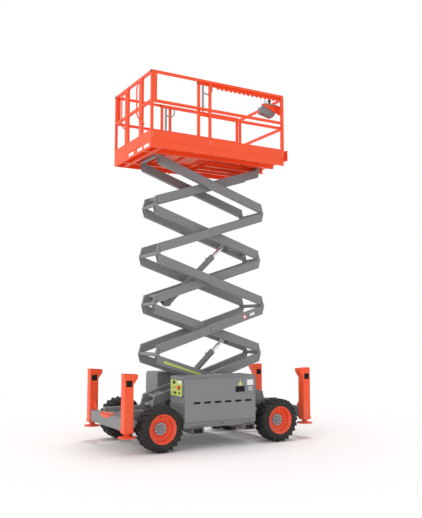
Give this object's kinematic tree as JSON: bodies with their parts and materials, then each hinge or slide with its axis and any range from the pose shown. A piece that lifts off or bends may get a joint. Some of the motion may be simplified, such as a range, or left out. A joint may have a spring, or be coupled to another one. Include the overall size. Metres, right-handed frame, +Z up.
{
  "type": "rough-terrain scissor lift",
  "caption": "Rough-terrain scissor lift with stabiliser jacks, guard-railed platform with roll-out deck, stacked crossed arms and steered front wheels.",
  "frame": {"origin": "on the ground under the middle of the machine", "axes": "+X towards the steered front, -X towards the entry gate, +Z up; the near side in the picture is -Y"},
  "size_m": [3.3698, 1.75, 5.637],
  "materials": {
    "orange_paint": "satin powder coat",
    "grey_paint": "satin powder coat",
    "tyre_rubber": "matt",
    "rod_chrome": "polished",
    "bare_steel": "brushed",
    "black_parts": "matt",
    "panel_face": "satin"
  },
  "bodies": {
    "chassis": {"main_frame": "grey_paint", "rear_fork_tube": "grey_paint", "front_fork_tube": "grey_paint", "rear_axle": "grey_paint", "front_axle": "grey_paint", "rear_step": "orange_paint", "near_cabinet": "grey_paint", "far_cabinet": "grey_paint", "engine_block": "black_parts", "hydraulic_block": "black_parts", "ground_control_panel": "panel_face", "rear_near_jack_housing": "orange_paint", "rear_far_jack_housing": "orange_paint", "front_near_jack_housing": "orange_paint", "front_far_jack_housing": "orange_paint"},
    "inner_arm_1": {"inner_arm_1": "grey_paint"},
    "outer_arm_1": {"outer_arm_1": "grey_paint"},
    "outer_arm_2": {"outer_arm_2": "grey_paint"},
    "inner_arm_2": {"inner_arm_2": "grey_paint"},
    "outer_arm_3": {"outer_arm_3": "grey_paint"},
    "inner_arm_3": {"inner_arm_3": "grey_paint"},
    "outer_arm_4": {"outer_arm_4": "grey_paint"},
    "inner_arm_4": {"inner_arm_4": "grey_paint"},
    "outer_arm_5": {"outer_arm_5": "grey_paint"},
    "inner_arm_5": {"inner_arm_5": "grey_paint"},
    "lower_cylinder_barrel": {"lower_cylinder_barrel": "grey_paint"},
    "lower_cylinder_rod": {"lower_cylinder_rod": "rod_chrome"},
    "upper_cylinder_barrel": {"upper_cylinder_barrel": "grey_paint"},
    "upper_cylinder_rod": {"upper_cylinder_rod": "rod_chrome"},
    "platform": {"platform_deck": "orange_paint", "near_rail": "orange_paint", "far_rail": "orange_paint"},
    "entry_gate": {"entry_gate": "orange_paint"},
    "extension": {"extension_deck": "orange_paint", "extension_rail": "orange_paint", "platform_control_box": "grey_paint"},
    "near_door": {"near_door": "grey_paint"},
    "rear_near_jack": {"rear_near_jack_leg": "orange_paint"},
    "front_near_jack": {"front_near_jack_leg": "orange_paint"},
    "near_knuckle": {"near_knuckle": "grey_paint"},
    "rear_near_wheel": {"rear_near_tyre": "tyre_rubber", "rear_near_rim": "orange_paint"},
    "front_near_wheel": {"front_near_tyre": "tyre_rubber", "front_near_rim": "orange_paint"},
    "far_door": {"far_door": "grey_paint"},
    "rear_far_jack": {"rear_far_jack_leg": "orange_paint"},
    "front_far_jack": {"front_far_jack_leg": "orange_paint"},
    "far_knuckle": {"far_knuckle": "grey_paint"},
    "rear_far_wheel": {"rear_far_tyre": "tyre_rubber", "rear_far_rim": "orange_paint"},
    "front_far_wheel": {"front_far_tyre": "tyre_rubber", "front_far_rim": "orange_paint"},
    "tie_rod": {"tie_rod": "bare_steel"}
  },
  "joints": [
    {"name": "scissor_lift", "type": "hinge", "parent": "chassis", "child": "inner_arm_1", "pos_m": [-0.915, 0, 0.591], "axis": [0, -1, 0], "range_deg": [-18.1, 39.7]},
    {"name": "outer_arm_1_pivot", "type": "hinge", "parent": "inner_arm_1", "child": "outer_arm_1", "pos_m": [0.03959, 0, 0.97784], "axis": [0, -1, 0], "range_deg": [-81, 36.9]},
    {"name": "outer_arm_2_pivot", "type": "hinge", "parent": "outer_arm_1", "child": "outer_arm_2", "pos_m": [-0.915, 0, 1.36469], "axis": [0, -1, 0], "range_deg": [-36.9, 81]},
    {"name": "inner_arm_2_pivot", "type": "hinge", "parent": "outer_arm_2", "child": "inner_arm_2", "pos_m": [0.03959, 0, 1.75153], "axis": [0, -1, 0], "range_deg": [-81, 36.9]},
    {"name": "outer_arm_3_pivot", "type": "hinge", "parent": "outer_arm_2", "child": "outer_arm_3", "pos_m": [0.99419, 0, 2.13838], "axis": [0, -1, 0], "range_deg": [-81, 36.9]},
    {"name": "inner_arm_3_pivot", "type": "hinge", "parent": "outer_arm_3", "child": "inner_arm_3", "pos_m": [0.03959, 0, 2.52522], "axis": [0, -1, 0], "range_deg": [-36.9, 81]},
    {"name": "outer_arm_4_pivot", "type": "hinge", "parent": "outer_arm_3", "child": "outer_arm_4", "pos_m": [-0.915, 0, 2.91207], "axis": [0, -1, 0], "range_deg": [-36.9, 81]},
    {"name": "inner_arm_4_pivot", "type": "hinge", "parent": "outer_arm_4", "child": "inner_arm_4", "pos_m": [0.03959, 0, 3.29891], "axis": [0, -1, 0], "range_deg": [-81, 36.9]},
    {"name": "outer_arm_5_pivot", "type": "hinge", "parent": "outer_arm_4", "child": "outer_arm_5", "pos_m": [0.99419, 0, 3.68576], "axis": [0, -1, 0], "range_deg": [-81, 36.9]},
    {"name": "inner_arm_5_pivot", "type": "hinge", "parent": "outer_arm_5", "child": "inner_arm_5", "pos_m": [0.03959, 0, 4.0726], "axis": [0, -1, 0], "range_deg": [-36.9, 81]},
    {"name": "lower_cylinder_tilt", "type": "hinge", "parent": "inner_arm_1", "child": "lower_cylinder_barrel", "pos_m": [-0.60837, 0, 0.60109], "axis": [0, -1, 0], "range_deg": [-2, 2]},
    {"name": "lower_cylinder_stroke", "type": "slide", "parent": "lower_cylinder_barrel", "child": "lower_cylinder_rod", "axis": [0.7256, 0, 0.6881], "range_m": [-0.32, 0.7]},
    {"name": "upper_cylinder_tilt", "type": "hinge", "parent": "inner_arm_3", "child": "upper_cylinder_barrel", "pos_m": [-0.60837, 0, 2.14847], "axis": [0, -1, 0], "range_deg": [-2, 2]},
    {"name": "upper_cylinder_stroke", "type": "slide", "parent": "upper_cylinder_barrel", "child": "upper_cylinder_rod", "axis": [0.7256, 0, 0.6881], "range_m": [-0.32, 0.7]},
    {"name": "platform_level", "type": "hinge", "parent": "outer_arm_5", "child": "platform", "pos_m": [-0.915, 0, 4.45945], "axis": [0, -1, 0], "range_deg": [-18.5, 40.5]},
    {"name": "entry_gate_swing", "type": "hinge", "parent": "platform", "child": "entry_gate", "pos_m": [-1.188, 0.233, 5.1], "axis": [0, 0, 1], "range_deg": [0, 90]},
    {"name": "extension_slide", "type": "slide", "parent": "platform", "child": "extension", "axis": [1, 0, 0], "range_m": [0, 1.2]},
    {"name": "near_door_swing", "type": "hinge", "parent": "chassis", "child": "near_door", "pos_m": [0.507, -0.848, 0.71], "axis": [0, 0, 1], "range_deg": [0, 90]},
    {"name": "rear_near_jack_stroke", "type": "slide", "parent": "chassis", "child": "rear_near_jack", "axis": [0, 0, -1], "range_m": [0, 0.4]},
    {"name": "front_near_jack_stroke", "type": "slide", "parent": "chassis", "child": "front_near_jack", "axis": [0, 0, -1], "range_m": [0, 0.4]},
    {"name": "near_steer", "type": "hinge", "parent": "chassis", "child": "near_knuckle", "pos_m": [0.97, -0.5, 0.33], "axis": [0, 0, 1], "range_deg": [-24, 24]},
    {"name": "rear_near_wheel_spin", "type": "hinge", "parent": "chassis", "child": "rear_near_wheel", "pos_m": [-1.066, -0.7225, 0.33], "axis": [0, 1, 0], "continuous": true},
    {"name": "front_near_wheel_spin", "type": "hinge", "parent": "near_knuckle", "child": "front_near_wheel", "pos_m": [0.97, -0.7225, 0.33], "axis": [0, 1, 0], "continuous": true},
    {"name": "far_door_swing", "type": "hinge", "parent": "chassis", "child": "far_door", "pos_m": [0.507, 0.848, 0.71], "axis": [0, 0, -1], "range_deg": [0, 90]},
    {"name": "rear_far_jack_stroke", "type": "slide", "parent": "chassis", "child": "rear_far_jack", "axis": [0, 0, -1], "range_m": [0, 0.4]},
    {"name": "front_far_jack_stroke", "type": "slide", "parent": "chassis", "child": "front_far_jack", "axis": [0, 0, -1], "range_m": [0, 0.4]},
    {"name": "far_steer", "type": "hinge", "parent": "chassis", "child": "far_knuckle", "pos_m": [0.97, 0.5, 0.33], "axis": [0, 0, 1], "range_deg": [-24.5, 24.5]},
    {"name": "rear_far_wheel_spin", "type": "hinge", "parent": "chassis", "child": "rear_far_wheel", "pos_m": [-1.066, 0.7225, 0.33], "axis": [0, 1, 0], "continuous": true},
    {"name": "front_far_wheel_spin", "type": "hinge", "parent": "far_knuckle", "child": "front_far_wheel", "pos_m": [0.97, 0.7225, 0.33], "axis": [0, 1, 0], "continuous": true},
    {"name": "tie_rod_swing", "type": "hinge", "parent": "near_knuckle", "child": "tie_rod", "pos_m": [0.83, -0.46, 0.29], "axis": [0, 0, 1], "range_deg": [-24.5, 24.5]}
  ],
  "couplings": [
    {"joint": "outer_arm_1_pivot", "follows": "scissor_lift", "ratio": -2},
    {"joint": "outer_arm_2_pivot", "follows": "scissor_lift", "ratio": 2},
    {"joint": "inner_arm_2_pivot", "follows": "scissor_lift", "ratio": -2},
    {"joint": "outer_arm_3_pivot", "follows": "scissor_lift", "ratio": -2},
    {"joint": "inner_arm_3_pivot", "follows": "scissor_lift", "ratio": 2},
    {"joint": "outer_arm_4_pivot", "follows": "scissor_lift", "ratio": 2},
    {"joint": "inner_arm_4_pivot", "follows": "scissor_lift", "ratio": -2},
    {"joint": "outer_arm_5_pivot", "follows": "scissor_lift", "ratio": -2},
    {"joint": "inner_arm_5_pivot", "follows": "scissor_lift", "ratio": 2},
    {"joint": "lower_cylinder_tilt", "follows": "scissor_lift", "ratio": -0.03},
    {"joint": "lower_cylinder_stroke", "follows": "scissor_lift", "m_per_rad": 0.993},
    {"joint": "upper_cylinder_tilt", "follows": "scissor_lift", "ratio": -0.03},
    {"joint": "upper_cylinder_stroke", "follows": "scissor_lift", "m_per_rad": 0.993},
    {"joint": "platform_level", "follows": "scissor_lift", "ratio": 1},
    {"joint": "far_steer", "follows": "near_steer", "ratio": 1},
    {"joint": "tie_rod_swing", "follows": "near_steer", "ratio": -1}
  ]
}
